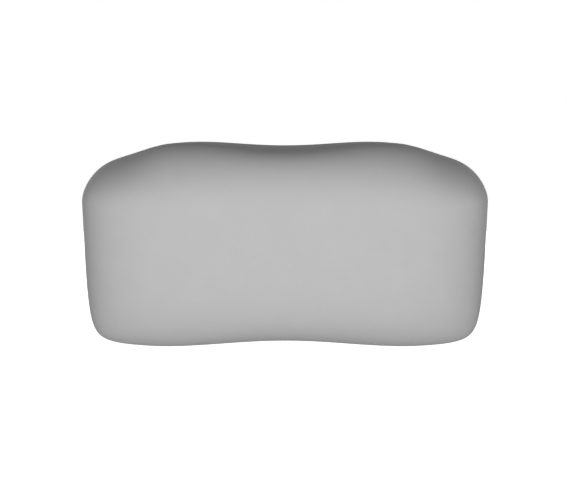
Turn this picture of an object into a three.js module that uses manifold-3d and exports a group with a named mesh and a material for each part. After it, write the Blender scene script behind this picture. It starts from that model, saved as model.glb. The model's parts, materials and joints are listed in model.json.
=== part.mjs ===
// Bath pillow: a moulded headrest that four suction cups hold on the sloping end wall of a bathtub.
// Millimetres, +Z up. The tub wall is the plane y = 0, and the face that the head rests on looks along -Y.
// The middle of the four cups is at x = 0, z = 0.
import * as THREE from 'three';
import { mergeVertices } from 'three/addons/utils/BufferGeometryUtils.js';
import Module from 'manifold-3d';

// Driving dimensions: pillow
const PILLOW_WIDTH = 310;
const RISE = 45; // top edge above the level where the pillow is widest
const DROP = 116; // bottom edge below that level
const DOME_DEPTH = 49; // the front bulges this far from its widest outline
const SIDE_WALL_DEPTH = 30; // from the widest outline to the flat back
const SIDE_DRAFT = 3.5; // degrees that the side wall leans in towards the back
const BACK_EDGE_RADIUS = 8;
const SIDE_POWER = 4.3; // how square the outline's sides are
const BOTTOM_POWER = 4; // how late the front curves in towards its lower edge
const CORNER_RATIO = 0.9; // how square the lower corners are, up to 1
const SHOULDER_RECESS = 14; // the front is set back this far at the edge of the upper shoulders
const SHOULDER_DIP = 4.4; // flattens the top edge at the shoulders
const SHOULDER_EDGE = 30; // from the pillow's sides to the middle of a shoulder
const SHOULDER_REACH = 35; // from there to where the flattening ends
const SHOULDER_POWER = 2; // how close to the top edge the shoulders are shaped
const TOP_WAIST = 4.6; // dip in the middle of the top edge
const BOTTOM_WAIST = 5.6; // rise in the middle of the bottom edge
const TOP_WAIST_REACH = 79; // from the middle to where the dip ends
const BOTTOM_WAIST_REACH = 104;
const TOP_WAIST_POWER = 6.9; // keeps the dip close to the top edge
const BOTTOM_WAIST_POWER = 2;
const SKIN_THICKNESS = 2.5;

// Driving dimensions: stiffening plate inside the back
const PLATE_THICKNESS = 4;
const PLATE_MARGIN = 14; // from the pillow's outline to the plate's edge
const KEY_HOLE_DIAMETER = 12; // holes that the foam grows through
const KEY_COLUMNS = 3;

// Driving dimensions: suction cups
const CUP_DIAMETER = 38;
const CUP_RIM_WIDTH = 3;
const CUP_RIM_LIP = 1.2;
const CUP_HOLLOW_DEPTH = 7.5;
const CUP_ROOF = 2; // between the hollow and the cavity of the knob
const CUP_EDGE_X = 52; // from the pillow's sides to the cup centres
const CUP_EDGE_Z = 45.5; // from its top and bottom edges to the cup centres
const BELL_FLARE = 1.3;
const KNOB_WALL = 2.2; // rubber around the stud's head
const KNOB_LIP = 2.6; // rubber that closes over the stud's head
const KNOB_CHAMFER = 0.8;
const TAB_WIDTH = 11;
const TAB_REACH = 9;
const TAB_THICKNESS = 1.5;
const TAB_LIFT = 0.4; // keeps the tab clear of the wall

// Driving dimensions: push-in studs and their sockets
const NECK_DIAMETER = 6;
const HEAD_OVERHANG = 2; // the head stands out this far from the neck
const HEAD_THICKNESS = 2.8;
const HEAD_CHAMFER = 0.8;
const COLLAR_OVERLAP = 1.4; // the collar covers this much of the socket's rim
const COLLAR_THICKNESS = 1.4;
const PEG_PAST_FLANGE = 4; // the peg ends this far in front of the socket's flange
const BARB_DIAMETER = 9.4;
const BARB_DEPTH = 0.5;
const BARB_COUNT = 3;
const BARB_STEP = 1 / 3; // share of a barb's length where its step stands
const SOCKET_WALL = 2;
const SOCKET_FLOOR = 2;
const FLANGE_WIDTH = 6;
const FLANGE_THICKNESS = 2;

const CLEARANCE = 0.3;
const OVERCUT = 1; // cutting tools run past the faces that they open
const WELD = 1e-4; // points closer than this are one point
const HALVINGS = 40; // steps that close in on a point of the form

// Facet counts
const COLUMNS = 52;
const CORNERS = 4;
const CORNER_GATHER = 0.65; // above 0, columns gather at the corners of the outline
const DOME_RINGS = 7;
const EDGE_RINGS = 2;
const CUP_SIDES = 24;
const SOCKET_SIDES = 20;
const STUD_SIDES = 16;
const KEY_SIDES = 12;
const CURVE_STEPS = 5;
const TAB_STEPS = 8;

// Levels measured from the tub wall towards the front
const KNOB_START = CUP_HOLLOW_DEPTH + CUP_ROOF;
const HEAD_START = KNOB_START + CLEARANCE;
const HEAD_END = HEAD_START + HEAD_THICKNESS;
const CAVITY_END = HEAD_END + CLEARANCE;
const CUP_HEIGHT = CAVITY_END + KNOB_LIP;
const COLLAR_START = CUP_HEIGHT + CLEARANCE;
const COLLAR_END = COLLAR_START + COLLAR_THICKNESS;
const BACK_LEVEL = COLLAR_END + CLEARANCE;
const WIDEST_LEVEL = BACK_LEVEL + SIDE_WALL_DEPTH;
const PLATE_START = BACK_LEVEL + SKIN_THICKNESS + CLEARANCE;
const PLATE_END = PLATE_START + PLATE_THICKNESS;
const FLANGE_START = PLATE_END + CLEARANCE;
const FLANGE_END = FLANGE_START + FLANGE_THICKNESS;
const PEG_END = FLANGE_END + PEG_PAST_FLANGE;
const BORE_END = PEG_END + CLEARANCE;
const SOCKET_END = BORE_END + SOCKET_FLOOR;

const RIM_RADIUS = CUP_DIAMETER / 2;
const NECK_RADIUS = NECK_DIAMETER / 2;
const HEAD_RADIUS = NECK_RADIUS + HEAD_OVERHANG;
const CAVITY_RADIUS = HEAD_RADIUS + CLEARANCE;
const KNOB_RADIUS = CAVITY_RADIUS + KNOB_WALL;
const BARB_RADIUS = BARB_DIAMETER / 2;
const BORE_RADIUS = BARB_RADIUS + CLEARANCE;
const COLLAR_RADIUS = BORE_RADIUS + COLLAR_OVERLAP;
const SOCKET_RADIUS = BORE_RADIUS + SOCKET_WALL;
const FLANGE_RADIUS = SOCKET_RADIUS + FLANGE_WIDTH;
const WIDEST_Z = (DROP - RISE) / 2; // puts the middle of the pillow's height at z = 0
const SHOULDER_X = PILLOW_WIDTH / 2 - SHOULDER_EDGE;
const CUP_X = PILLOW_WIDTH / 2 - CUP_EDGE_X;
const CUP_Z = (RISE + DROP) / 2 - CUP_EDGE_Z;

const wasm = await Module();
wasm.setup();

// Materials
function material(color, roughness) {
  return new THREE.MeshStandardMaterial({ color, roughness, metalness: 0 });
}
const skinMaterial = material(0xc0c0c1, 0.75);
const foamMaterial = material(0xe6dfc8, 0.95);
const plateMaterial = material(0xdedfdd, 0.55);
const socketMaterial = material(0xa9abad, 0.5);
const studMaterial = material(0xf0efe9, 0.45);
const cupMaterial = material(0xd5dfe2, 0.25);

// Solids: closed meshes to and from the boolean library
function toSolid(geometry) {
  const bare = geometry.clone();
  bare.deleteAttribute('normal');
  bare.deleteAttribute('uv');
  const merged = mergeVertices(bare, WELD);
  const index = merged.index.array;
  const corners = [];
  for (let i = 0; i < index.length; i += 3) {
    const [a, b, c] = index.slice(i, i + 3);
    if (a !== b && b !== c && c !== a) corners.push(a, b, c);
  }
  const mesh = new wasm.Mesh({
    numProp: 3,
    vertProperties: new Float32Array(merged.attributes.position.array),
    triVerts: new Uint32Array(corners),
  });
  return new wasm.Manifold(mesh);
}

function toGeometry(solid) {
  const mesh = solid.getMesh();
  const geometry = new THREE.BufferGeometry();
  geometry.setAttribute('position', new THREE.BufferAttribute(mesh.vertProperties, 3));
  geometry.setIndex(new THREE.BufferAttribute(mesh.triVerts, 1));
  geometry.computeVertexNormals();
  return geometry;
}

function cut(geometry, cutters) {
  return toGeometry(cutters.reduce((solid, cutter) => solid.subtract(toSolid(cutter)), toSolid(geometry)));
}

// A body turned about the Y axis. The profile lists radius and distance from the tub wall, wall side first.
function turned(profile, sides) {
  const points = profile.map(([radius, level]) => new THREE.Vector2(radius, -level)).reverse();
  return new THREE.LatheGeometry(points, sides);
}

// A flat shape drawn in x and z, thickened from one level to another
function slab(shape, startLevel, endLevel) {
  const geometry = new THREE.ExtrudeGeometry(shape, { depth: endLevel - startLevel, bevelEnabled: false });
  geometry.rotateX(Math.PI / 2);
  geometry.translate(0, -startLevel, 0);
  return geometry;
}

function roundHole(x, z, radius, sides) {
  const points = [];
  for (let i = 0; i < sides; i += 1) {
    const angle = (2 * Math.PI * i) / sides;
    points.push(new THREE.Vector2(x + radius * Math.cos(angle), z + radius * Math.sin(angle)));
  }
  return new THREE.Path(points);
}

// Pillow form
// The dome's height over a point is the root of 1 minus this spread, which is 0 at the crown
// and 1 on the outline. x and z are measured from the crown.
function spread(x, z, form) {
  const across = Math.abs(x / form.halfWidth) ** SIDE_POWER;
  if (z >= 0) return across + (z / form.rise) ** 2;
  const down = Math.abs(z / form.drop) ** BOTTOM_POWER;
  return across + down - CORNER_RATIO * across * down;
}

// The point in a given direction from the crown where the spread reaches a level
function reach(angle, level, form) {
  const turn = angle + (CORNER_GATHER / CORNERS) * Math.sin(CORNERS * angle);
  const x = form.halfWidth * Math.cos(turn);
  const z = (Math.sin(turn) >= 0 ? form.rise : form.drop) * Math.sin(turn);
  let near = 0;
  let far = 2; // past the outline in every direction
  for (let i = 0; i < HALVINGS; i += 1) {
    const middle = (near + far) / 2;
    if (spread(x * middle, z * middle, form) < level) near = middle;
    else far = middle;
  }
  return [x * far, z * far];
}

// How far the front is set back at the upper shoulders: most on the outline, half way round the corner
function recess(x, z, form) {
  const across = Math.abs(x / form.halfWidth) ** SIDE_POWER;
  const up = Math.max(z / form.rise, 0) ** SHOULDER_POWER;
  return 4 * SHOULDER_RECESS * across * up;
}

// 1 in the middle of a hump and 0 where it ends
function hump(offset, length) {
  return Math.cos((Math.PI / 2) * Math.min(Math.abs(offset) / length, 1)) ** 2;
}

// Draws the top and bottom edges in at the waist, and the top edge at the shoulders
function shapePoint(x, z) {
  const up = Math.max(z / RISE, 0);
  const down = Math.max(-z / DROP, 0);
  const dip = TOP_WAIST * hump(x, TOP_WAIST_REACH) * up ** TOP_WAIST_POWER;
  const slope = SHOULDER_DIP * hump(Math.abs(x) - SHOULDER_X, SHOULDER_REACH) * up ** SHOULDER_POWER;
  const lift = BOTTOM_WAIST * hump(x, BOTTOM_WAIST_REACH) * down ** BOTTOM_WAIST_POWER;
  return [x, WIDEST_Z + z - dip - slope + lift];
}

function pillowForm(inset) {
  return {
    halfWidth: PILLOW_WIDTH / 2 - inset,
    rise: RISE - inset,
    drop: DROP - inset,
    dome: DOME_DEPTH - inset,
    wall: SIDE_WALL_DEPTH - inset,
    edge: Math.max(BACK_EDGE_RADIUS - inset, BACK_EDGE_RADIUS / 2),
  };
}

// A point of the side wall: a place on the outline, some depth behind it, pulled in by draft and back edge
function wallPoint(angle, depth, pull, form) {
  const [x, z] = reach(angle, 1, form);
  const inward = pull + depth * Math.tan(THREE.MathUtils.degToRad(SIDE_DRAFT));
  const height = z >= 0 ? form.rise : form.drop;
  return shapePoint(x * (1 - inward / form.halfWidth), z * (1 - inward / height));
}

// Rings of points from the crown over the widest outline to the back, one list of points per ring
function pillowRings(form) {
  const angles = Array.from({ length: COLUMNS }, (_, i) => (2 * Math.PI * i) / COLUMNS);
  const rings = [];
  for (let i = 1; i <= DOME_RINGS; i += 1) {
    const turn = (Math.PI / 2) * (i / DOME_RINGS);
    const level = WIDEST_LEVEL + form.dome * Math.cos(turn);
    rings.push(angles.map((angle) => {
      const place = reach(angle, Math.sin(turn) ** 2, form);
      const [x, z] = shapePoint(...place);
      return [x, recess(...place, form) - level, z];
    }));
  }
  for (let i = 0; i <= EDGE_RINGS; i += 1) {
    const turn = (Math.PI / 2) * (i / EDGE_RINGS);
    const depth = form.wall - form.edge * (1 - Math.sin(turn));
    rings.push(angles.map((angle) => {
      const [x, z] = wallPoint(angle, depth, form.edge * (1 - Math.cos(turn)), form);
      return [x, depth - WIDEST_LEVEL, z];
    }));
  }
  return rings;
}

// A closed skin over the rings, with a crown point in front and a middle point behind
function pillowSolid(inset) {
  const form = pillowForm(inset);
  const rings = pillowRings(form);
  const crown = [0, -(WIDEST_LEVEL + form.dome), WIDEST_Z];
  const middle = [0, form.wall - WIDEST_LEVEL, WIDEST_Z];
  const points = [crown, ...rings.flat(), middle];
  const last = points.length - 1;
  const corner = (ring, column) => 1 + ring * COLUMNS + (column % COLUMNS);
  const triangles = [];
  for (let i = 0; i < COLUMNS; i += 1) {
    triangles.push(0, corner(0, i), corner(0, i + 1));
    for (let ring = 1; ring < rings.length; ring += 1) {
      triangles.push(corner(ring - 1, i), corner(ring, i), corner(ring, i + 1));
      triangles.push(corner(ring - 1, i), corner(ring, i + 1), corner(ring - 1, i + 1));
    }
    triangles.push(corner(rings.length - 1, i + 1), corner(rings.length - 1, i), last);
  }
  const geometry = new THREE.BufferGeometry();
  geometry.setAttribute('position', new THREE.Float32BufferAttribute(points.flat(), 3));
  geometry.setIndex(triangles);
  return geometry;
}

// Places of the four cups, and of the holes that key the foam between them
const stations = [
  { name: 'upper_left', side: -1, x: -CUP_X, z: CUP_Z },
  { name: 'upper_right', side: 1, x: CUP_X, z: CUP_Z },
  { name: 'lower_left', side: -1, x: -CUP_X, z: -CUP_Z },
  { name: 'lower_right', side: 1, x: CUP_X, z: -CUP_Z },
];

const keys = [];
for (let i = 1; i <= KEY_COLUMNS; i += 1) {
  const x = CUP_X * ((2 * i) / (KEY_COLUMNS + 1) - 1);
  keys.push({ x, z: CUP_Z }, { x, z: -CUP_Z });
}

// The plate's outline follows the pillow's back
function plateShape(growth, keyRadius) {
  const form = pillowForm(PLATE_MARGIN - growth);
  const points = [];
  for (let i = 0; i < COLUMNS; i += 1) {
    points.push(new THREE.Vector2(...wallPoint((2 * Math.PI * i) / COLUMNS, form.wall, 0, form)));
  }
  const shape = new THREE.Shape(points);
  shape.holes.push(...keys.map(({ x, z }) => roundHole(x, z, keyRadius, KEY_SIDES)));
  return shape;
}

function insertPlate() {
  const shape = plateShape(0, KEY_HOLE_DIAMETER / 2);
  const hole = SOCKET_RADIUS + CLEARANCE;
  shape.holes.push(...stations.map(({ x, z }) => roundHole(x, z, hole, SOCKET_SIDES)));
  return slab(shape, PLATE_START, PLATE_END);
}

// A round cutting tool at one cup's place
function socketCutter({ x, z }, radius, startLevel, endLevel) {
  const cutter = new THREE.CylinderGeometry(radius, radius, endLevel - startLevel, SOCKET_SIDES);
  return cutter.translate(x, -(startLevel + endLevel) / 2, z);
}

function outerSkin() {
  const openings = stations.map((station) => (
    socketCutter(station, SOCKET_RADIUS + CLEARANCE, BACK_LEVEL - OVERCUT, PLATE_START + OVERCUT)
  ));
  return cut(pillowSolid(0), [pillowSolid(SKIN_THICKNESS), ...openings]);
}

// The foam fills the skin around the plate and the sockets, and its pegs stand in the plate's key holes
function foamCore() {
  const pocketShape = plateShape(CLEARANCE, KEY_HOLE_DIAMETER / 2 - CLEARANCE);
  const platePocket = slab(pocketShape, PLATE_START - OVERCUT, PLATE_END + CLEARANCE);
  const socketPockets = stations.flatMap((station) => [
    socketCutter(station, FLANGE_RADIUS + CLEARANCE, PLATE_END, FLANGE_END + CLEARANCE),
    socketCutter(station, SOCKET_RADIUS + CLEARANCE, FLANGE_END, SOCKET_END + CLEARANCE),
  ]);
  return cut(pillowSolid(SKIN_THICKNESS + CLEARANCE), [platePocket, ...socketPockets]);
}

// Bush through skin and plate, with a flange that bears on the plate's inner side and a blind bore
function cupSocket() {
  return turned([
    [0, BORE_END],
    [BORE_RADIUS, BORE_END],
    [BORE_RADIUS, BACK_LEVEL],
    [SOCKET_RADIUS, BACK_LEVEL],
    [SOCKET_RADIUS, FLANGE_START],
    [FLANGE_RADIUS, FLANGE_START],
    [FLANGE_RADIUS, FLANGE_END],
    [SOCKET_RADIUS, FLANGE_END],
    [SOCKET_RADIUS, SOCKET_END],
    [0, SOCKET_END],
  ], SOCKET_SIDES);
}

// Mushroom head, neck and collar, then a peg with barbs that point back along the way in
function pushStud() {
  const core = BARB_RADIUS - BARB_DEPTH;
  const pitch = (PEG_END - COLLAR_END) / BARB_COUNT;
  const profile = [
    [0, HEAD_START],
    [HEAD_RADIUS - HEAD_CHAMFER, HEAD_START],
    [HEAD_RADIUS, HEAD_START + HEAD_CHAMFER],
    [HEAD_RADIUS, HEAD_END],
    [NECK_RADIUS, HEAD_END],
    [NECK_RADIUS, COLLAR_START],
    [COLLAR_RADIUS, COLLAR_START],
    [COLLAR_RADIUS, COLLAR_END],
    [core, COLLAR_END],
  ];
  for (let i = 0; i < BARB_COUNT; i += 1) {
    const start = COLLAR_END + i * pitch;
    const step = start + pitch * BARB_STEP;
    profile.push([core, step], [BARB_RADIUS, step], [core, start + pitch]);
  }
  profile.push([0, PEG_END]);
  return turned(profile, STUD_SIDES);
}

// Bell with a flat sealing rim, a hollow knob that closes over the stud's head, and a pull tab
function suctionCup(side) {
  const mouth = RIM_RADIUS - CUP_RIM_WIDTH;
  const profile = [];
  for (let i = 0; i <= CURVE_STEPS; i += 1) {
    const share = i / CURVE_STEPS;
    profile.push([mouth * share, CUP_HOLLOW_DEPTH * (1 - share ** 2)]);
  }
  profile.push([RIM_RADIUS, 0]);
  for (let i = 0; i <= CURVE_STEPS; i += 1) {
    const share = i / CURVE_STEPS;
    const level = CUP_RIM_LIP + (KNOB_START - CUP_RIM_LIP) * share ** BELL_FLARE;
    profile.push([RIM_RADIUS + (KNOB_RADIUS - RIM_RADIUS) * share, level]);
  }
  profile.push(
    [KNOB_RADIUS, CUP_HEIGHT - KNOB_CHAMFER],
    [KNOB_RADIUS - KNOB_CHAMFER, CUP_HEIGHT],
    [NECK_RADIUS + CLEARANCE, CUP_HEIGHT],
    [NECK_RADIUS + CLEARANCE, CAVITY_END],
    [CAVITY_RADIUS, CAVITY_END],
    [CAVITY_RADIUS, KNOB_START],
    [0, KNOB_START],
  );
  const bell = toSolid(turned(profile, CUP_SIDES));
  return toGeometry(bell.add(toSolid(pullTab(side))));
}

// Tongue with a round end that stands out sideways from the rim, away from the pillow's middle
function pullTab(side) {
  const half = TAB_WIDTH / 2;
  const root = RIM_RADIUS - CUP_RIM_WIDTH / 2;
  const end = RIM_RADIUS + TAB_REACH - half;
  const points = [new THREE.Vector2(side * root, -half)];
  for (let i = 0; i <= TAB_STEPS; i += 1) {
    const angle = Math.PI * (i / TAB_STEPS - 0.5);
    points.push(new THREE.Vector2(side * (end + half * Math.cos(angle)), half * Math.sin(angle)));
  }
  points.push(new THREE.Vector2(side * root, half));
  return slab(new THREE.Shape(points), TAB_LIFT, TAB_LIFT + TAB_THICKNESS);
}

// Assembly
function piece(name, geometry, finish, x = 0, z = 0) {
  const mesh = new THREE.Mesh(geometry, finish);
  mesh.name = name;
  mesh.position.set(x, 0, z);
  return mesh;
}

const pillow = new THREE.Group();
pillow.add(piece('outer_skin', outerSkin(), skinMaterial));
pillow.add(piece('foam_core', foamCore(), foamMaterial));
pillow.add(piece('insert_plate', insertPlate(), plateMaterial));
for (const { name, side, x, z } of stations) {
  pillow.add(piece(`cup_socket_${name}`, cupSocket(), socketMaterial, x, z));
  pillow.add(piece(`push_stud_${name}`, pushStud(), studMaterial, x, z));
  pillow.add(piece(`suction_cup_${name}`, suctionCup(side), cupMaterial, x, z));
}

export default pillow;
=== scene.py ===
"""Looks of a moulded bath pillow that four suction cups hold on the wall of a tub.

Metres, +Z up. The tub wall is the plane y = 0, and the face that the head rests on looks along -Y.
A level is a distance from the tub wall towards the front.
"""

import json
import math

import bmesh
import bpy
from bpy.props import FloatProperty, FloatVectorProperty, PointerProperty
from mathutils import Matrix, Vector


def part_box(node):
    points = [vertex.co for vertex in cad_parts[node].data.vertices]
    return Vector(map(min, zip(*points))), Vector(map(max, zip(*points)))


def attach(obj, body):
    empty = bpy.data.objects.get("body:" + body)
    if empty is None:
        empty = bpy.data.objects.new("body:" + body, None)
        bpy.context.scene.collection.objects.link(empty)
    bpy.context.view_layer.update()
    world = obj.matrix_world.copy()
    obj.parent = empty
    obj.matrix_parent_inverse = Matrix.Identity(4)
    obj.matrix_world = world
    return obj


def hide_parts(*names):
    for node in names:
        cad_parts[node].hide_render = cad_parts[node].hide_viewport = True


bl_info = {
    "name": "Bath Pillow",
    "version": (1, 0, 0),
    "blender": (4, 5, 0),
    "location": "View3D > Sidebar > Bath Pillow",
    "description": "Models a moulded bath pillow with its suction cups, and a small studio around it",
    "category": "Object",
}

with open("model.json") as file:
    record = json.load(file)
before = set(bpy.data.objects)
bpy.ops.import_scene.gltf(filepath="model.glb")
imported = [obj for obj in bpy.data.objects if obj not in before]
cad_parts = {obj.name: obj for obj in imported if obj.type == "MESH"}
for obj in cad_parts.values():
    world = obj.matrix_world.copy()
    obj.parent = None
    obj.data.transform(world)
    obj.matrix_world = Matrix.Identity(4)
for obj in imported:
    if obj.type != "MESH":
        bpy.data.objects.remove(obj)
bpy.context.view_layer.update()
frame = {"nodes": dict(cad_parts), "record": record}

STATIONS = ("upper_left", "upper_right", "lower_left", "lower_right")
COLOURS = {entry["slot"]: entry["base_color"][:3] for entry in frame["record"]["materials"]}
PILLOW_LOW, PILLOW_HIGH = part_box("outer_skin")

# Facets
SKIN_CUTS = 71
LINING_CUTS = 35
FOAM_CUTS = 39
OUTLINE_SIDES = 96
TURNED_SIDES = 64
HOLE_SIDES = 48
CURVE_STEPS = 20
BEVEL_STEPS = 3
DOME_SPACING = 1.5  # higher moves rings of points towards the crown
CORNER_GATHER = 0.5  # higher gathers columns of points at the corners
HALVINGS = 30  # steps that close in on a point of the form
TINY = 1e-6  # values closer than this count as equal
SLIVER = 1e-5  # faces and edges thinner than this are taken out after a cut
OVERCUT = 0.001  # cutting tools run past the faces that they open
BEVEL_ANGLE = math.radians(35)  # edges that turn more than this are rounded
SHARP_ANGLE = math.radians(32)  # edges that still turn more than this are shaded as sharp

# Details of the fastening
RING_START = 0.0025  # from the stud's collar to the ring that is moulded around each socket
RING_END = 0.006  # from the collar to the ring's outer edge
KEY_PLACES = (-0.5, 0.0, 0.5)  # columns of the plate's holes, as shares of the way to the cups
SOCKET_ROUND = 0.0003
STUD_ROUND = 0.00015
BARB_COUNT = 3
CUP_ROUND = 0.00025
BELL_FLARE = 1.3
TAB_ROUND = 0.0003
RIB_PITCH = 0.0024
RIB_SIZE = (0.0009, 0.001, 0.0068)
RIB_ROUND = 0.00025

# Studio
KEY_PLACE = Vector((0, -1.9, 0.1))
KEY_SIZE = 0.85
BACK_PLACE = Vector((0.7, 1.35, -0.05))  # of the right lamp, which the left one mirrors
BACK_SIZE = 0.8
FLOOR_SIZE = 8.0
FLOOR_BOUNCE = 0.2  # share of the light that the floor throws back up
PAPER_TONE = 0.5  # how strongly the floor shows a shadow
PAPER_GLOW = 0.96

NOISE_MEAN = 0.5


def length(name, description, default):
    """A size that the user may change."""
    return FloatProperty(
        name=name, description=description, default=default, min=0, unit="LENGTH", precision=5
    )


def number(name, description, default):
    """A plain number that the user may change."""
    return FloatProperty(name=name, description=description, default=default)


def angle(name, description, degrees):
    """An angle that the user may change."""
    default = math.radians(degrees)
    return FloatProperty(name=name, description=description, default=default, subtype="ANGLE")


def colour(name, description, slot):
    """A colour that the user may change, from the record's material slot."""
    return FloatVectorProperty(
        name=name, description=description, default=COLOURS[slot], size=3, min=0, max=1, subtype="COLOR"
    )


class PillowSizes(bpy.types.PropertyGroup):
    """Form of the moulded pillow, and colours of its skin, foam and plate."""

    width: length("Width", "Width at the widest level", PILLOW_HIGH.x - PILLOW_LOW.x)
    rise: length("Rise", "Top edge above the level where the pillow is widest", 0.045)
    drop: length("Drop", "Bottom edge below that level", 0.116)
    dome_depth: length("Dome Depth", "Bulge of the front from its widest outline", 0.049)
    wall_depth: length("Wall Depth", "From the widest outline to the flat back", 0.03)
    wall_draft: angle("Wall Draft", "Lean of the side wall towards the back", 3.5)
    back_edge: length("Back Edge", "Radius of the edge around the back", 0.008)
    back_level: length("Back Level", "From the tub wall to the flat back", -PILLOW_HIGH.y)
    side_power: number("Side Power", "How square the outline's sides are", 4.3)
    bottom_power: number("Bottom Power", "How late the front curves in towards its lower edge", 4)
    corner_ratio: FloatProperty(
        name="Corner Ratio", description="How square the lower corners are", default=0.9, min=0, max=1
    )
    top_waist: length("Top Waist", "Dip in the middle of the top edge", 0.0046)
    bottom_waist: length("Bottom Waist", "Rise in the middle of the bottom edge", 0.0056)
    top_waist_reach: length("Top Waist Reach", "From the middle to where the dip ends", 0.079)
    bottom_waist_reach: length("Bottom Waist Reach", "From the middle to where the rise ends", 0.104)
    top_waist_power: number("Top Waist Power", "Keeps the dip close to the top edge", 6.9)
    shoulder_recess: length("Shoulder Recess", "How far the outline is set back at the shoulders", 0.014)
    shoulder_dip: length("Shoulder Dip", "How far the upper shoulders are flattened", 0.0044)
    shoulder_edge: length("Shoulder Edge", "From the pillow's sides to the middle of a shoulder", 0.03)
    shoulder_reach: length("Shoulder Reach", "From there to where the flattening ends", 0.035)
    skin_thickness: length("Skin Thickness", "Wall of the moulded skin", 0.0025)
    parting_ridge: length("Parting Ridge", "Height of the ridge where the mould parts", 0.00015)
    boss_height: length("Boss Height", "Height of the moulded ring around each socket", 0.0006)
    skin_colour: colour("Skin Colour", "Colour of the moulded skin", "skin")
    foam_colour: colour("Foam Colour", "Colour of the foam filling", "foam")
    plate_colour: colour("Plate Colour", "Colour of the stiffening plate", "plate")


class PlateSizes(bpy.types.PropertyGroup):
    """Stiffening plate inside the back, which the foam is shaped around."""

    thickness: length("Thickness", "Thickness of the plate", 0.004)
    margin: length("Margin", "From the pillow's outline to the plate's edge", 0.014)
    key_diameter: length("Key Hole", "Diameter of the holes that the foam grows through", 0.012)


class CupSizes(bpy.types.PropertyGroup):
    """Suction cups."""

    diameter: length("Diameter", "Diameter of the sealing rim", 0.038)
    rim_width: length("Rim Width", "Width of the flat sealing face", 0.003)
    rim_lip: length("Rim Lip", "Thickness of the rim's edge", 0.0012)
    hollow_depth: length("Hollow Depth", "Depth of the hollow", 0.0075)
    roof: length("Roof", "Between the hollow and the cavity of the knob", 0.002)
    knob_wall: length("Knob Wall", "Around the stud's head", 0.0022)
    knob_lip: length("Knob Lip", "Over the stud's head", 0.0026)
    knob_round: length("Knob Round", "Rounding of the knob's end", 0.0008)
    tab_width: length("Tab Width", "Width of the pull tab", 0.011)
    tab_reach: length("Tab Reach", "From the rim to the end of the tab", 0.009)
    tab_thickness: length("Tab Thickness", "Thickness of the pull tab", 0.0015)
    tab_lift: length("Tab Lift", "Between the wall and the tab", 0.0004)
    colour: colour("Colour", "Tint of the soft clear plastic", "cup")


class StudSizes(bpy.types.PropertyGroup):
    """Push-in studs and the sockets that they sit in."""

    neck_diameter: length("Neck", "Diameter of the neck", 0.006)
    head_overhang: length("Head Overhang", "Width of the head beyond the neck", 0.002)
    head_thickness: length("Head Thickness", "Thickness of the mushroom head", 0.0028)
    head_round: length("Head Round", "Rounding of the head", 0.0008)
    collar_overlap: length("Collar Overlap", "Width of the socket's rim that the collar covers", 0.0014)
    collar_thickness: length("Collar Thickness", "Thickness of the collar", 0.0014)
    peg_past_flange: length("Peg Past Flange", "From the socket's flange to the peg's end", 0.004)
    barb_diameter: length("Barbs", "Diameter over the barbs", 0.0094)
    barb_depth: length("Barb Depth", "Height of a barb", 0.0005)
    socket_wall: length("Socket Wall", "Wall of the socket bush", 0.002)
    socket_floor: length("Socket Floor", "Floor of the blind bore", 0.002)
    flange_width: length("Flange Width", "Width of the socket's flange", 0.006)
    flange_thickness: length("Flange Thickness", "Thickness of the socket's flange", 0.002)
    clearance: length("Clearance", "Gap between parts that fit into each other", 0.0003)
    stud_colour: colour("Stud Colour", "Colour of the studs", "stud")
    socket_colour: colour("Socket Colour", "Colour of the sockets", "socket")


class StudioSettings(bpy.types.PropertyGroup):
    """Camera, lamps and floor."""

    camera_distance: length("Camera Distance", "From the camera to the pillow's widest level", 0.7)
    camera_side: FloatProperty(
        name="Camera Side",
        description="Camera to the right of the middle",
        default=-0.00113,
        unit="LENGTH",
    )
    camera_rise: angle("Camera Rise", "Camera above the horizon", 11.03)
    camera_pitch: angle("Camera Pitch", "Camera's look below the horizon", 13.54)
    camera_lens: FloatProperty(name="Lens", description="Focal length", default=57.86, unit="CAMERA")
    key_power: FloatProperty(name="Key", description="Lamp in front", default=30, unit="POWER")
    back_power: FloatProperty(name="Back", description="Each lamp behind", default=9.5, unit="POWER")
    sky: number("Sky", "Brightness of the studio around the object", 0.08)
    floor_drop: length("Floor Drop", "From the pillow down to the floor", 0.25)


class Value:
    """A socket of a node tree. Arithmetic on values adds Math nodes to the tree."""

    def __init__(self, finish, socket):
        self.finish = finish
        self.socket = socket

    def math(self, operation, *others):
        sockets = dict(enumerate((self, *others)))
        return self.finish.node("ShaderNodeMath", {"operation": operation}, sockets)

    def __add__(self, other):
        return self.math("ADD", other)

    def __sub__(self, other):
        return self.math("SUBTRACT", other)

    def __rsub__(self, other):
        return self * -1.0 + other

    def __mul__(self, other):
        return self.math("MULTIPLY", other)

    def __pow__(self, power):
        return self.math("POWER", power)

    def __abs__(self):
        return self.math("ABSOLUTE")

    __radd__ = __add__
    __rmul__ = __mul__


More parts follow.
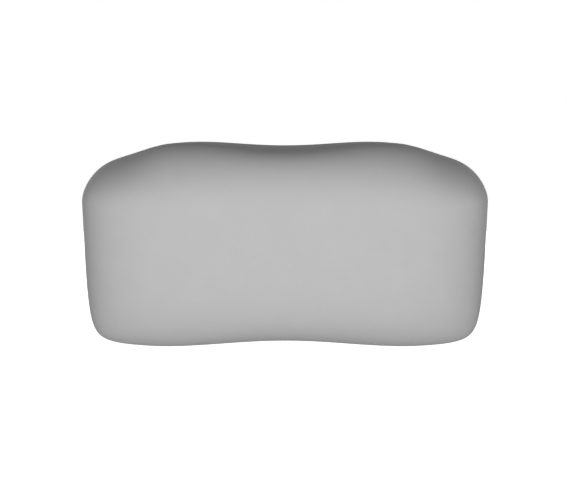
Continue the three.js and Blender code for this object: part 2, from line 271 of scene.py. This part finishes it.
class Finish:
    """A material, or the world, and the nodes that make it."""

    def __init__(self, owner):
        owner.use_nodes = True
        self.owner = owner
        self.tree = owner.node_tree
        self.tree.nodes.clear()

    def node(self, kind, settings=None, sockets=None, output=0):
        """Adds a node of any kind: its settings first, then the values or links of its sockets."""
        node = self.tree.nodes.new(kind)
        for name, setting in (settings or {}).items():
            setattr(node, name, setting)
        for name, value in (sockets or {}).items():
            if isinstance(value, Value):
                self.tree.links.new(value.socket, node.inputs[name])
            else:
                node.inputs[name].default_value = value
        return Value(self, node.outputs[output]) if node.outputs else None

    def place(self):
        return self.node("ShaderNodeTexCoord", output="Object")

    def noise(self, place, size, detail):
        """Clouds of about a given size."""
        sockets = {"Vector": place, "Scale": 1 / size, "Detail": detail}
        return self.node("ShaderNodeTexNoise", None, sockets)

    def cells(self, place, size):
        """Distance from the middle of scattered cells, in cell sizes."""
        return self.node("ShaderNodeTexVoronoi", None, {"Vector": place, "Scale": 1 / size})

    def fade(self, value, start, end):
        """0 up to a start and 1 from an end on, smooth between them. The end may come first."""
        sockets = {"Value": value, "From Min": start, "From Max": end}
        return self.node("ShaderNodeMapRange", {"interpolation_type": "SMOOTHSTEP"}, sockets)

    def tint(self, factor, rgb, low, high):
        """A colour, from a low to a high multiple of itself."""
        dark, light = ((*(channel * share for channel in rgb), 1) for share in (low, high))
        sockets = {0: factor, 6: dark, 7: light}
        return self.node("ShaderNodeMix", {"data_type": "RGBA"}, sockets, output=2)

    def bump(self, height):
        """A surface normal from a height in metres."""
        return self.node("ShaderNodeBump", None, {"Height": height, "Strength": 1.0, "Distance": 1.0})

    def surface(self, sockets):
        """Closes the material with one shader."""
        shader = self.node("ShaderNodeBsdfPrincipled", None, sockets)
        self.node("ShaderNodeOutputMaterial", None, {"Surface": shader})
        return self.owner


def skin_finish(sizes):
    """Matt self-skinned polyurethane: faintly cloudy and finely grained, with a few pinholes that the
    bump sinks and the colour darkens as painted shade.
    """
    finish = Finish(bpy.data.materials.new("moulded_polyurethane_skin"))
    place = finish.place()
    cloud = finish.noise(place, size=0.018, detail=3.0)
    speck = finish.noise(place, size=0.0016, detail=2.0)
    grain = finish.noise(place, size=0.0007, detail=3.0)
    pinhole = finish.fade(finish.cells(place, size=0.016), start=0.022, end=0.012)
    # The pinholes are darkened in the colour as painted shade inside them; the bump below sinks them.
    shade = 0.5 + (cloud - NOISE_MEAN) * 0.6 + (speck - NOISE_MEAN) * 0.35 - pinhole * 0.4
    return finish.surface({
        "Base Color": finish.tint(shade, sizes.skin_colour, 0.95, 1.05),
        "Roughness": 0.74 + (cloud - NOISE_MEAN) * 0.08 + (grain - NOISE_MEAN) * 0.1,
        "Specular IOR Level": 0.18,
        "Normal": finish.bump(grain * 0.00012 + speck * 0.0001 - pinhole * 0.00015),
    })


def foam_finish(sizes):
    """Open-cell polyurethane foam, cream and a little uneven, with painted shade in its open pores."""
    finish = Finish(bpy.data.materials.new("open_cell_foam"))
    place = finish.place()
    cloud = finish.noise(place, size=0.02, detail=3.0)
    cell = finish.cells(place, size=0.0013)
    pore = finish.fade(cell, start=0.45, end=0.1)
    # The middles of the cells are darkened in the colour as painted shade in the open pores.
    shade = 0.45 + (cloud - NOISE_MEAN) * 0.9 - pore * 0.4
    return finish.surface({
        "Base Color": finish.tint(shade, sizes.foam_colour, 0.8, 1.06),
        "Roughness": 0.9 + pore * 0.08,
        "Specular IOR Level": 0.2,
        "Normal": finish.bump(cell * 0.0004),
    })


def plate_finish(sizes):
    """Moulded polypropylene: waxy, with faint flow marks along its length."""
    finish = Finish(bpy.data.materials.new("polypropylene_plate"))
    place = finish.place()
    along = finish.node("ShaderNodeMapping", None, {"Vector": place, "Scale": (0.25, 1.0, 1.0)})
    flow = finish.noise(along, size=0.012, detail=4.0)
    grain = finish.noise(place, size=0.0005, detail=2.0)
    return finish.surface({
        "Base Color": finish.tint(flow, sizes.plate_colour, 0.92, 1.06),
        "Roughness": 0.42 + flow * 0.16 + (grain - NOISE_MEAN) * 0.1,
        "Specular IOR Level": 0.4,
        "Normal": finish.bump(grain * 0.00002),
    })


def socket_finish(sizes):
    """Grey moulded plastic with a fine eroded texture."""
    finish = Finish(bpy.data.materials.new("socket_plastic"))
    place = finish.place()
    cloud = finish.noise(place, size=0.006, detail=3.0)
    grain = finish.noise(place, size=0.00035, detail=2.0)
    return finish.surface({
        "Base Color": finish.tint(cloud, sizes.socket_colour, 0.9, 1.08),
        "Roughness": 0.48 + (grain - NOISE_MEAN) * 0.2,
        "Specular IOR Level": 0.45,
        "Normal": finish.bump(grain * 0.00002),
    })


def stud_finish(sizes):
    """Natural nylon, slightly glossy, with a bloom of wear where it slides."""
    finish = Finish(bpy.data.materials.new("natural_nylon"))
    place = finish.place()
    cloud = finish.noise(place, size=0.004, detail=3.0)
    scuff = finish.noise(place, size=0.0008, detail=4.0)
    return finish.surface({
        "Base Color": finish.tint(cloud, sizes.stud_colour, 0.93, 1.04),
        "Roughness": 0.34 + scuff * 0.18,
        "Specular IOR Level": 0.5,
        "Normal": finish.bump(scuff * 0.00002),
    })


def cup_finish(cups, middle):
    """Soft clear plastic: glossy, a little milky, with fine turning marks around each cup's axis."""
    finish = Finish(bpy.data.materials.new("soft_clear_plastic"))
    place = finish.place()
    right = abs(finish.node("ShaderNodeSeparateXYZ", None, {"Vector": place}, output="X")) - middle.x
    up = abs(finish.node("ShaderNodeSeparateXYZ", None, {"Vector": place}, output="Z")) - middle.z
    radius = (right * right + up * up) ** 0.5
    mark_pitch = 0.0011
    marks = (radius * (math.tau / mark_pitch)).math("SINE")
    cloud = finish.noise(place, size=0.007, detail=2.0)
    return finish.surface({
        "Base Color": finish.tint(cloud, cups.colour, 1.1, 1.22),
        "Roughness": 0.05 + cloud * 0.05,
        "Specular IOR Level": 0.5,
        "Transmission Weight": 0.82,
        "IOR": 1.48,
        "Normal": finish.bump(marks * 0.000003 + cloud * 0.000004),
    })


class PillowForm:
    """Points of the pillow's form, drawn in by an inset."""

    def __init__(self, sizes, inset):
        self.sizes = sizes
        self.half_width = sizes.width / 2 - inset
        self.rise = sizes.rise - inset
        self.drop = sizes.drop - inset
        self.dome = sizes.dome_depth - inset
        self.wall = sizes.wall_depth - inset
        self.edge = max(sizes.back_edge - inset, sizes.back_edge / 2)
        self.widest_level = sizes.back_level + sizes.wall_depth
        self.widest_z = (sizes.drop - sizes.rise) / 2
        self.ridge = 0.0 if inset else sizes.parting_ridge
        self.edges = {}

    def spread(self, x, z):
        """0 at the crown and 1 on the outline."""
        across = abs(x / self.half_width) ** self.sizes.side_power
        if z >= 0:
            return across + (z / self.rise) ** 2
        down = abs(z / self.drop) ** self.sizes.bottom_power
        return across + down - self.sizes.corner_ratio * across * down

    def recess(self, x, z):
        """How far the front is set back at the upper shoulders."""
        across = abs(x / self.half_width) ** self.sizes.side_power
        up = max(z / self.rise, 0.0) ** 2
        # The two add to 1 on the outline, so their product is a quarter at most.
        return 4 * self.sizes.shoulder_recess * across * up

    def reach(self, across, up, goal):
        """The point in a direction from the crown where the spread reaches a goal."""
        x = self.half_width * across
        z = (self.rise if up >= 0 else self.drop) * up
        near, far = 0.0, 2.0  # no outline lies further out than twice its half width or height
        for _ in range(HALVINGS):
            middle = (near + far) / 2
            if self.spread(x * middle, z * middle) < goal:
                near = middle
            else:
                far = middle
        return x * far, z * far

    def outline(self, across, up):
        """The widest outline in a direction, kept because a column of points asks for it again."""
        key = (round(across, 6), round(up, 6))
        if key not in self.edges:
            self.edges[key] = self.reach(across, up, 1.0)
        return self.edges[key]

    def shaped(self, x, z, level):
        """Draws the top and bottom edges in at the waist, and the top edge down at the shoulders."""
        sizes = self.sizes
        up = max(z / sizes.rise, 0.0)
        down = max(-z / sizes.drop, 0.0)
        dip = sizes.top_waist * hump(x, sizes.top_waist_reach) * up**sizes.top_waist_power
        lift = sizes.bottom_waist * hump(x, sizes.bottom_waist_reach) * down**2
        beside = abs(x) - (sizes.width / 2 - sizes.shoulder_edge)
        dip += sizes.shoulder_dip * hump(beside, sizes.shoulder_reach) * up**2
        return Vector((x, -level, self.widest_z + z - dip + lift))

    def dome_point(self, across, up, share):
        """A point of the front, from the crown at share 0 to the parting ridge on the outline at 1."""
        turn = math.pi / 2 * share**DOME_SPACING
        x, z = self.reach(across, up, math.sin(turn) ** 2)
        inward = -self.ridge if share > 1 - TINY else 0.0
        level = self.widest_level + self.dome * math.cos(turn) - self.recess(x, z)
        return self.drawn(x, z, inward, level)

    def drawn(self, x, z, inward, level):
        """A point at some level, drawn in towards the crown's axis."""
        height = self.rise if z >= 0 else self.drop
        return self.shaped(x * (1 - inward / self.half_width), z * (1 - inward / height), level)

    def wall_point(self, across, up, depth, pull):
        """A point some depth behind the widest level, pulled in by the draft and the back edge."""
        inward = pull + depth * math.tan(self.sizes.wall_draft)
        return self.drawn(*self.outline(across, up), inward, self.widest_level - depth)

    def side_point(self, across, up, share):
        """A point of the side, from the widest outline at share 0 round the back edge at 1."""
        x, z = self.outline(across, up)
        recess = self.recess(x, z)
        bend_start = self.wall - self.edge
        straight = bend_start - recess
        run = share * (straight + self.edge * math.pi / 2)
        if run <= straight:
            rim = self.shaped(x, z, self.widest_level - recess)
            return rim.lerp(self.wall_point(across, up, bend_start, 0.0), run / straight)
        turn = (run - straight) / self.edge
        depth = bend_start + self.edge * math.sin(turn)
        return self.wall_point(across, up, depth, self.edge * (1 - math.cos(turn)))

    def back_point(self, across, up, share):
        """A point of the flat back, from its middle at share 0 to its edge at 1."""
        x, z = self.outline(across, up)
        inward = self.edge + self.wall * math.tan(self.sizes.wall_draft)
        return self.drawn(x * share, z * share, inward, self.widest_level - self.wall)

    def moulded(self, cube_point):
        """Where a point of a cube from -1 to 1 goes on the form. The cube's front is y = -1."""
        u, w, v = cube_point
        span = max(abs(u), abs(v))
        if span < TINY:
            return self.dome_point(1.0, 0.0, 0.0) if w < 0 else self.back_point(1.0, 0.0, 0.0)
        across, up = gathered(u / span), gathered(v / span)
        if w < -1 + TINY:
            return self.dome_point(across, up, span)
        if w > 1 - TINY:
            return self.back_point(across, up, span)
        return self.side_point(across, up, (w + 1) / 2)


def hump(offset, reach):
    """1 in the middle of a hump and 0 where it ends."""
    return math.cos(math.pi / 2 * min(abs(offset) / reach, 1.0)) ** 2


def gathered(along):
    """Draws columns of points together at the corners."""
    return (1 - CORNER_GATHER) * along + CORNER_GATHER * math.sin(math.pi / 2 * along)


def pillow_mesh(sizes, inset, cuts):
    """The closed form of the pillow, drawn in by an inset."""
    form = PillowForm(sizes, inset)
    bm = bmesh.new()
    bmesh.ops.create_cube(bm, size=2.0)
    bmesh.ops.subdivide_edges(bm, edges=bm.edges[:], cuts=cuts, use_grid_fill=True)
    for vert in bm.verts:
        vert.co = form.moulded(vert.co)
    bmesh.ops.recalc_face_normals(bm, faces=bm.faces[:])
    return bm


def turned(profile, centre, bevel=0.0):
    """A closed body turned about an axis along Y. The profile lists radius and level."""
    bm = bmesh.new()
    verts = [bm.verts.new((centre.x + radius, -level, centre.z)) for radius, level in profile]
    edges = [bm.edges.new(pair) for pair in zip(verts, verts[1:])]
    bmesh.ops.spin(
        bm,
        geom=verts + edges,
        cent=(centre.x, 0, centre.z),
        axis=(0, 1, 0),
        angle=math.tau,
        steps=TURNED_SIDES,
        use_merge=True,
    )
    bmesh.ops.remove_doubles(bm, verts=bm.verts[:], dist=TINY)
    bmesh.ops.recalc_face_normals(bm, faces=bm.faces[:])
    if bevel:
        rounded(bm, bevel)
    return bm


def rounded(bm, offset):
    """Rounds every edge that turns sharply."""
    sharp = [edge for edge in bm.edges if edge.is_manifold and edge.calc_face_angle() > BEVEL_ANGLE]
    bmesh.ops.bevel(
        bm,
        geom=sharp,
        offset=offset,
        offset_type="OFFSET",
        segments=BEVEL_STEPS,
        profile=0.5,
        affect="EDGES",
        clamp_overlap=True,
        material=-1,
    )


def drum(centre, radius, start_level, end_level):
    """A round solid along Y."""
    bm = bmesh.new()
    place = Matrix.Translation((centre.x, -(start_level + end_level) / 2, centre.z))
    bmesh.ops.create_cone(
        bm,
        cap_ends=True,
        segments=HOLE_SIDES,
        radius1=radius,
        radius2=radius,
        depth=end_level - start_level,
        matrix=place @ Matrix.Rotation(math.pi / 2, 4, "X"),
    )
    return bm


def combined(base, others, operation):
    """Joins closed meshes to a closed mesh, or cuts them out of it."""
    objects = []
    for bm in (base, *others):
        mesh = bpy.data.meshes.new("workpiece")
        bm.to_mesh(mesh)
        bm.free()
        objects.append(bpy.data.objects.new("workpiece", mesh))
        bpy.context.scene.collection.objects.link(objects[-1])
    for tool in objects[1:]:
        modifier = objects[0].modifiers.new("combine", "BOOLEAN")
        modifier.solver = "EXACT"
        modifier.operation = operation
        modifier.object = tool
    result = bmesh.new()
    result.from_object(objects[0], bpy.context.evaluated_depsgraph_get())
    for workpiece in objects:
        mesh = workpiece.data
        bpy.data.objects.remove(workpiece)
        bpy.data.meshes.remove(mesh)
    bmesh.ops.remove_doubles(result, verts=result.verts[:], dist=TINY)
    # A cut can leave hairline slits where a rim crosses an edge of a flat face.
    bmesh.ops.holes_fill(result, edges=result.edges[:], sides=4)
    bmesh.ops.dissolve_degenerate(result, edges=result.edges[:], dist=SLIVER)
    return result


def add_piece(name, bm, material, body, node):
    """Makes a mesh an object of the model that stands for a solid and moves with its body."""
    for face in bm.faces:
        face.smooth = True
    for edge in bm.edges:
        edge.smooth = edge.is_manifold and edge.calc_face_angle() < SHARP_ANGLE
    mesh = bpy.data.meshes.new(name)
    bm.to_mesh(mesh)
    bm.free()
    mesh.materials.append(material)
    piece = bpy.data.objects.new(name, mesh)
    bpy.context.scene.collection.objects.link(piece)
    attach(piece, body)
    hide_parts(node)
    return piece


def station_centre(station):
    """A cup's axis, from the solid of its stud."""
    low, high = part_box(f"push_stud_{station}")
    return Vector(((low.x + high.x) / 2, 0, (low.z + high.z) / 2))


class Levels:
    """Levels and radii of the fastening, worked out from its sizes."""

    def __init__(self, settings):
        cups, studs, plate, pillow = settings.cups, settings.studs, settings.plate, settings.pillow
        gap = studs.clearance
        self.knob_start = cups.hollow_depth + cups.roof
        self.head_start = self.knob_start + gap
        self.head_end = self.head_start + studs.head_thickness
        self.cavity_end = self.head_end + gap
        self.cup_height = self.cavity_end + cups.knob_lip
        self.collar_start = self.cup_height + gap
        self.collar_end = self.collar_start + studs.collar_thickness
        self.back = pillow.back_level
        self.plate_start = self.back + pillow.skin_thickness + gap
        self.plate_end = self.plate_start + plate.thickness
        self.flange_start = self.plate_end + gap
        self.flange_end = self.flange_start + studs.flange_thickness
        self.peg_end = self.flange_end + studs.peg_past_flange
        self.bore_end = self.peg_end + gap
        self.socket_end = self.bore_end + studs.socket_floor
        self.rim_radius = cups.diameter / 2
        self.neck_radius = studs.neck_diameter / 2
        self.head_radius = self.neck_radius + studs.head_overhang
        self.cavity_radius = self.head_radius + gap
        self.knob_radius = self.cavity_radius + cups.knob_wall
        self.barb_radius = studs.barb_diameter / 2
        self.bore_radius = self.barb_radius + gap
        self.collar_radius = self.bore_radius + studs.collar_overlap
        self.socket_radius = self.bore_radius + studs.socket_wall
        self.flange_radius = self.socket_radius + studs.flange_width
        self.hole_radius = self.socket_radius + gap


class BATHPILLOW_OT_skin(bpy.types.Operator):
    """Model the moulded skin with its four openings"""

    bl_idname = "bath_pillow.skin"
    bl_label = "Moulded Skin"

    def execute(self, context):
        settings = context.scene.bath_pillow
        sizes, levels = settings.pillow, Levels(settings)
        shell = pillow_mesh(sizes, 0.0, SKIN_CUTS)
        lining = pillow_mesh(sizes, sizes.skin_thickness, LINING_CUTS)
        bosses, holes = [], []
        top = levels.back - sizes.boss_height
        foot = levels.back + sizes.skin_thickness / 2
        for station in STATIONS:
            centre = station_centre(station)
            inner, outer = levels.collar_radius + RING_START, levels.collar_radius + RING_END
            ring = [(inner, foot), (inner, top), (outer, top), (outer, foot), (inner, foot)]
            bosses.append(turned(ring, centre, sizes.boss_height / 2))
            start, end = levels.back - 2 * OVERCUT, levels.plate_start + OVERCUT
            holes.append(drum(centre, levels.hole_radius, start, end))
        shell = combined(shell, bosses, "UNION")
        skin = combined(shell, [lining, *holes], "DIFFERENCE")
        piece = add_piece("moulded_skin", skin, skin_finish(sizes), "pillow", "outer_skin")
        return {"FINISHED"}


class BATHPILLOW_OT_foam(bpy.types.Operator):
    """Model the foam filling around the plate and the sockets"""

    bl_idname = "bath_pillow.foam"
    bl_label = "Foam Filling"

    def execute(self, context):
        settings = context.scene.bath_pillow
        sizes, levels, gap = settings.pillow, Levels(settings), settings.studs.clearance
        foam = pillow_mesh(sizes, sizes.skin_thickness + gap, FOAM_CUTS)
        pocket = self.plate_pocket(settings, levels)
        sockets = []
        for station in STATIONS:
            centre = station_centre(station)
            for radius, start, end in (
                (levels.flange_radius + gap, levels.plate_end, levels.flange_end + gap),
                (levels.hole_radius, levels.flange_end, levels.socket_end + gap),
            ):
                sockets.append(drum(centre, radius, start, end))
        foam = combined(foam, [pocket, *sockets], "DIFFERENCE")
        piece = add_piece("foam_filling", foam, foam_finish(sizes), "pillow", "foam_core")
        return {"FINISHED"}

    def plate_pocket(self, settings, levels):
        """The space of the plate, with the pegs of foam that stand in its holes left out."""
        gap = settings.studs.clearance
        form = PillowForm(settings.pillow, settings.plate.margin - gap)
        bm = bmesh.new()
        bmesh.ops.create_circle(bm, cap_ends=True, segments=OUTLINE_SIDES, radius=1.0)
        start = levels.plate_start - OVERCUT
        for vert in bm.verts:
            vert.co = form.wall_point(vert.co.x, vert.co.y, form.wall, 0.0)
            vert.co.y = -start
        raised = bmesh.ops.extrude_face_region(bm, geom=bm.faces[:])["geom"]
        moved = [item for item in raised if isinstance(item, bmesh.types.BMVert)]
        bmesh.ops.translate(bm, verts=moved, vec=(0, start - levels.plate_end - gap, 0))
        bmesh.ops.recalc_face_normals(bm, faces=bm.faces[:])
        radius = settings.plate.key_diameter / 2 - gap
        middle = station_centre("upper_right")
        keys = []
        for share in KEY_PLACES:
            for side in (-1, 1):
                place = Vector((middle.x * share, 0, middle.z * side))
                keys.append(drum(place, radius, start - OVERCUT, levels.plate_end + OVERCUT))
        return combined(bm, keys, "DIFFERENCE")


class BATHPILLOW_OT_plate(bpy.types.Operator):
    """Give the stiffening plate its finish"""

    bl_idname = "bath_pillow.plate"
    bl_label = "Stiffening Plate"

    def execute(self, context):
        material = plate_finish(context.scene.bath_pillow.pillow)
        for slot in frame["nodes"]["insert_plate"].material_slots:
            slot.material = material
        return {"FINISHED"}


class BATHPILLOW_OT_sockets(bpy.types.Operator):
    """Model the flanged socket bushes"""

    bl_idname = "bath_pillow.sockets"
    bl_label = "Sockets"

    def execute(self, context):
        settings = context.scene.bath_pillow
        levels = Levels(settings)
        profile = [
            (0.0, levels.bore_end),
            (levels.bore_radius, levels.bore_end),
            (levels.bore_radius, levels.back),
            (levels.socket_radius, levels.back),
            (levels.socket_radius, levels.flange_start),
            (levels.flange_radius, levels.flange_start),
            (levels.flange_radius, levels.flange_end),
            (levels.socket_radius, levels.flange_end),
            (levels.socket_radius, levels.socket_end),
            (0.0, levels.socket_end),
        ]
        material = socket_finish(settings.studs)
        for station in STATIONS:
            bush = turned(profile, station_centre(station), SOCKET_ROUND)
            node = f"cup_socket_{station}"
            add_piece(f"socket_bush_{station}", bush, material, "pillow", node)
        return {"FINISHED"}


class BATHPILLOW_OT_studs(bpy.types.Operator):
    """Model the barbed studs with their mushroom heads"""

    bl_idname = "bath_pillow.studs"
    bl_label = "Push-in Studs"

    def execute(self, context):
        settings = context.scene.bath_pillow
        studs, levels = settings.studs, Levels(settings)
        core = levels.barb_radius - studs.barb_depth
        pitch = (levels.peg_end - levels.collar_end) / BARB_COUNT
        profile = [
            (0.0, levels.head_start),
            (levels.head_radius - studs.head_round, levels.head_start),
            (levels.head_radius, levels.head_start + studs.head_round),
            (levels.head_radius, levels.head_end),
            (levels.neck_radius, levels.head_end),
            (levels.neck_radius, levels.collar_start),
            (levels.collar_radius, levels.collar_start),
            (levels.collar_radius, levels.collar_end),
            (core, levels.collar_end),
        ]
        for barb in range(BARB_COUNT):
            start = levels.collar_end + barb * pitch
            step = start + pitch / 3  # a barb's step stands a third of the way along it
            profile += [(core, step), (levels.barb_radius, step), (core, start + pitch)]
        profile.append((0.0, levels.peg_end))
        material = stud_finish(studs)
        for station in STATIONS:
            stud = turned(profile, station_centre(station), STUD_ROUND)
            body, node = f"stud_{station}", f"push_stud_{station}"
            add_piece(f"barbed_stud_{station}", stud, material, body, node)
        return {"FINISHED"}


class BATHPILLOW_OT_cups(bpy.types.Operator):
    """Model the suction cups with their hollow knobs and pull tabs"""

    bl_idname = "bath_pillow.cups"
    bl_label = "Suction Cups"

    def execute(self, context):
        settings = context.scene.bath_pillow
        cups, levels = settings.cups, Levels(settings)
        material = cup_finish(cups, station_centre("upper_right"))
        for station in STATIONS:
            centre = station_centre(station)
            bell = turned(self.profile(settings, levels), centre, CUP_ROUND)
            cup = combined(bell, self.tab(cups, levels, centre), "UNION")
            body, node = f"cup_{station}", f"suction_cup_{station}"
            add_piece(f"bell_cup_{station}", cup, material, body, node)
        return {"FINISHED"}

    def profile(self, settings, levels):
        """Hollow, rim, bell and knob, from the axis inside the hollow to the axis inside the knob."""
        cups, neck = settings.cups, levels.neck_radius + settings.studs.clearance
        mouth = levels.rim_radius - cups.rim_width
        points = []
        for step in range(CURVE_STEPS + 1):
            share = step / CURVE_STEPS
            points.append((mouth * share, cups.hollow_depth * (1 - share**2)))
        points.append((levels.rim_radius, 0.0))
        for step in range(CURVE_STEPS + 1):
            share = step / CURVE_STEPS
            radius = levels.rim_radius + (levels.knob_radius - levels.rim_radius) * share
            height = (levels.knob_start - cups.rim_lip) * share**BELL_FLARE
            points.append((radius, cups.rim_lip + height))
        points += [
            (levels.knob_radius, levels.cup_height - cups.knob_round),
            (levels.knob_radius - cups.knob_round, levels.cup_height),
            (neck, levels.cup_height),
            (neck, levels.cavity_end),
            (levels.cavity_radius, levels.cavity_end),
            (levels.cavity_radius, levels.knob_start),
            (0.0, levels.knob_start),
        ]
        return points

    def tab(self, cups, levels, centre):
        """A round-ended tongue that points away from the pillow's middle, and three grip ribs on it."""
        side = math.copysign(1, centre.x)
        half = cups.tab_width / 2
        root = centre.x + side * (levels.rim_radius - cups.rim_width / 2)
        end = centre.x + side * (levels.rim_radius + cups.tab_reach - half)
        tip = Vector((end, 0, centre.z))
        front = cups.tab_lift + cups.tab_thickness
        tongue = drum(tip, half, cups.tab_lift, front)
        for vert in tongue.verts:
            if (vert.co.x - end) * side < -TINY:
                vert.co.x = root
        bmesh.ops.remove_doubles(tongue, verts=tongue.verts[:], dist=TINY)
        rounded(tongue, TAB_ROUND)
        ribs = []
        for offset in (-RIB_PITCH, 0.0, RIB_PITCH):
            rib = bmesh.new()
            place = Matrix.Translation((end + offset, -front, centre.z))
            bmesh.ops.create_cube(rib, size=1.0, matrix=place @ Matrix.Diagonal((*RIB_SIZE, 1)))
            rounded(rib, RIB_ROUND)
            ribs.append(rib)
        return [tongue, *ribs]


class BATHPILLOW_OT_studio(bpy.types.Operator):
    """Set up the floor, the soft lamps, the white surroundings and the camera"""

    bl_idname = "bath_pillow.studio"
    bl_label = "Studio"

    def execute(self, context):
        settings = context.scene.bath_pillow
        studio, pillow = settings.studio, settings.pillow
        widest = Vector((0, -(pillow.back_level + pillow.wall_depth), (pillow.drop - pillow.rise) / 2))
        self.floor(PILLOW_LOW.z - studio.floor_drop)
        self.surroundings(context.scene, studio.sky)
        self.lamp("key_lamp", KEY_PLACE, widest, KEY_SIZE, studio.key_power)
        for name, side in (("back_lamp_left", -1), ("back_lamp_right", 1)):
            place = Vector((side * BACK_PLACE.x, BACK_PLACE.y, BACK_PLACE.z))
            self.lamp(name, place, widest, BACK_SIZE, studio.back_power)
        self.camera(context.scene, studio, widest)
        context.scene.view_settings.view_transform = "Standard"
        return {"FINISHED"}

    def floor(self, height):
        bm = bmesh.new()
        place = Matrix.Translation((0, 0, height))
        bmesh.ops.create_grid(bm, x_segments=1, y_segments=1, size=FLOOR_SIZE, matrix=place)
        mesh = bpy.data.meshes.new("studio_floor")
        bm.to_mesh(mesh)
        bm.free()
        mesh.materials.append(self.floor_finish())
        floor = bpy.data.objects.new("studio_floor", mesh)
        bpy.context.scene.collection.objects.link(floor)

    def seen(self, finish):
        """1 for rays from the camera or by way of gloss or clear plastic, 0 for light on its way."""
        camera, gloss, clear = (
            finish.node("ShaderNodeLightPath", output=f"Is {kind} Ray")
            for kind in ("Camera", "Glossy", "Transmission")
        )
        return camera.math("MAXIMUM", gloss).math("MAXIMUM", clear)

    def floor_finish(self):
        """White paper that shows the object's shadow faintly, and throws little light back up."""
        finish = Finish(bpy.data.materials.new("studio_paper"))
        dim, paper = (
            finish.node("ShaderNodeBsdfDiffuse", None, {"Color": (tone, tone, tone, 1)})
            for tone in (FLOOR_BOUNCE, PAPER_TONE)
        )
        glow = finish.node("ShaderNodeEmission", None, {"Color": (1, 1, 1, 1), "Strength": PAPER_GLOW})
        lit = finish.node("ShaderNodeAddShader", None, {0: paper, 1: glow})
        shader = finish.node("ShaderNodeMixShader", None, {0: self.seen(finish), 1: dim, 2: lit})
        finish.node("ShaderNodeOutputMaterial", None, {"Surface": shader})
        return finish.owner

    def surroundings(self, scene, sky):
        scene.world = bpy.data.worlds.new("studio_surroundings")
        finish = Finish(scene.world)
        strength = sky + self.seen(finish) * (1 - sky)
        shader = finish.node("ShaderNodeBackground", None, {"Color": (1, 1, 1, 1), "Strength": strength})
        finish.node("ShaderNodeOutputWorld", None, {"Surface": shader})

    def lamp(self, name, place, target, size, power):
        light = bpy.data.lights.new(name, "AREA")
        light.shape = "DISK"
        light.size = size
        light.energy = power
        lamp = bpy.data.objects.new(name, light)
        lamp.location = place
        lamp.rotation_euler = (target - place).to_track_quat("-Z", "Y").to_euler()
        bpy.context.scene.collection.objects.link(lamp)

    def camera(self, scene, studio, target):
        lens = bpy.data.cameras.new("studio_camera")
        lens.lens = studio.camera_lens
        camera = bpy.data.objects.new("studio_camera", lens)
        direction = Vector((0, -math.cos(studio.camera_rise), math.sin(studio.camera_rise)))
        reach = direction * studio.camera_distance
        camera.location = target + reach + Vector((studio.camera_side, 0, 0))
        camera.rotation_euler = (math.pi / 2 - studio.camera_pitch, 0, 0)
        scene.collection.objects.link(camera)
        scene.camera = camera


class BathPillowSettings(bpy.types.PropertyGroup):
    """All settings of the bath pillow."""

    pillow: PointerProperty(type=PillowSizes)
    plate: PointerProperty(type=PlateSizes)
    cups: PointerProperty(type=CupSizes)
    studs: PointerProperty(type=StudSizes)
    studio: PointerProperty(type=StudioSettings)


class BATHPILLOW_PT_panel(bpy.types.Panel):
    """Sizes and steps of the bath pillow"""

    bl_idname = "BATHPILLOW_PT_panel"
    bl_label = "Bath Pillow"
    bl_space_type = "VIEW_3D"
    bl_region_type = "UI"
    bl_category = "Bath Pillow"

    def draw(self, context):
        settings = context.scene.bath_pillow
        for title, group, operators in (
            ("Pillow", settings.pillow, ("skin", "foam")),
            ("Plate", settings.plate, ("plate",)),
            ("Cups", settings.cups, ("cups",)),
            ("Studs", settings.studs, ("sockets", "studs")),
            ("Studio", settings.studio, ("studio",)),
        ):
            box = self.layout.box()
            box.label(text=title)
            for name in group.__annotations__:
                box.prop(group, name)
            for operator in operators:
                box.operator(f"bath_pillow.{operator}")


CLASSES = (
    PillowSizes,
    PlateSizes,
    CupSizes,
    StudSizes,
    StudioSettings,
    BathPillowSettings,
    BATHPILLOW_OT_skin,
    BATHPILLOW_OT_foam,
    BATHPILLOW_OT_plate,
    BATHPILLOW_OT_sockets,
    BATHPILLOW_OT_studs,
    BATHPILLOW_OT_cups,
    BATHPILLOW_OT_studio,
    BATHPILLOW_PT_panel,
)


def register():
    for cls in CLASSES:
        bpy.utils.register_class(cls)
    bpy.types.Scene.bath_pillow = PointerProperty(type=BathPillowSettings)


def unregister():
    del bpy.types.Scene.bath_pillow
    for cls in reversed(CLASSES):
        bpy.utils.unregister_class(cls)


def main():
    register()
    bpy.ops.bath_pillow.studio()
    bpy.ops.bath_pillow.skin()
    bpy.ops.bath_pillow.foam()
    bpy.ops.bath_pillow.plate()
    bpy.ops.bath_pillow.sockets()
    bpy.ops.bath_pillow.studs()
    bpy.ops.bath_pillow.cups()


if __name__ == "__main__":
    main()
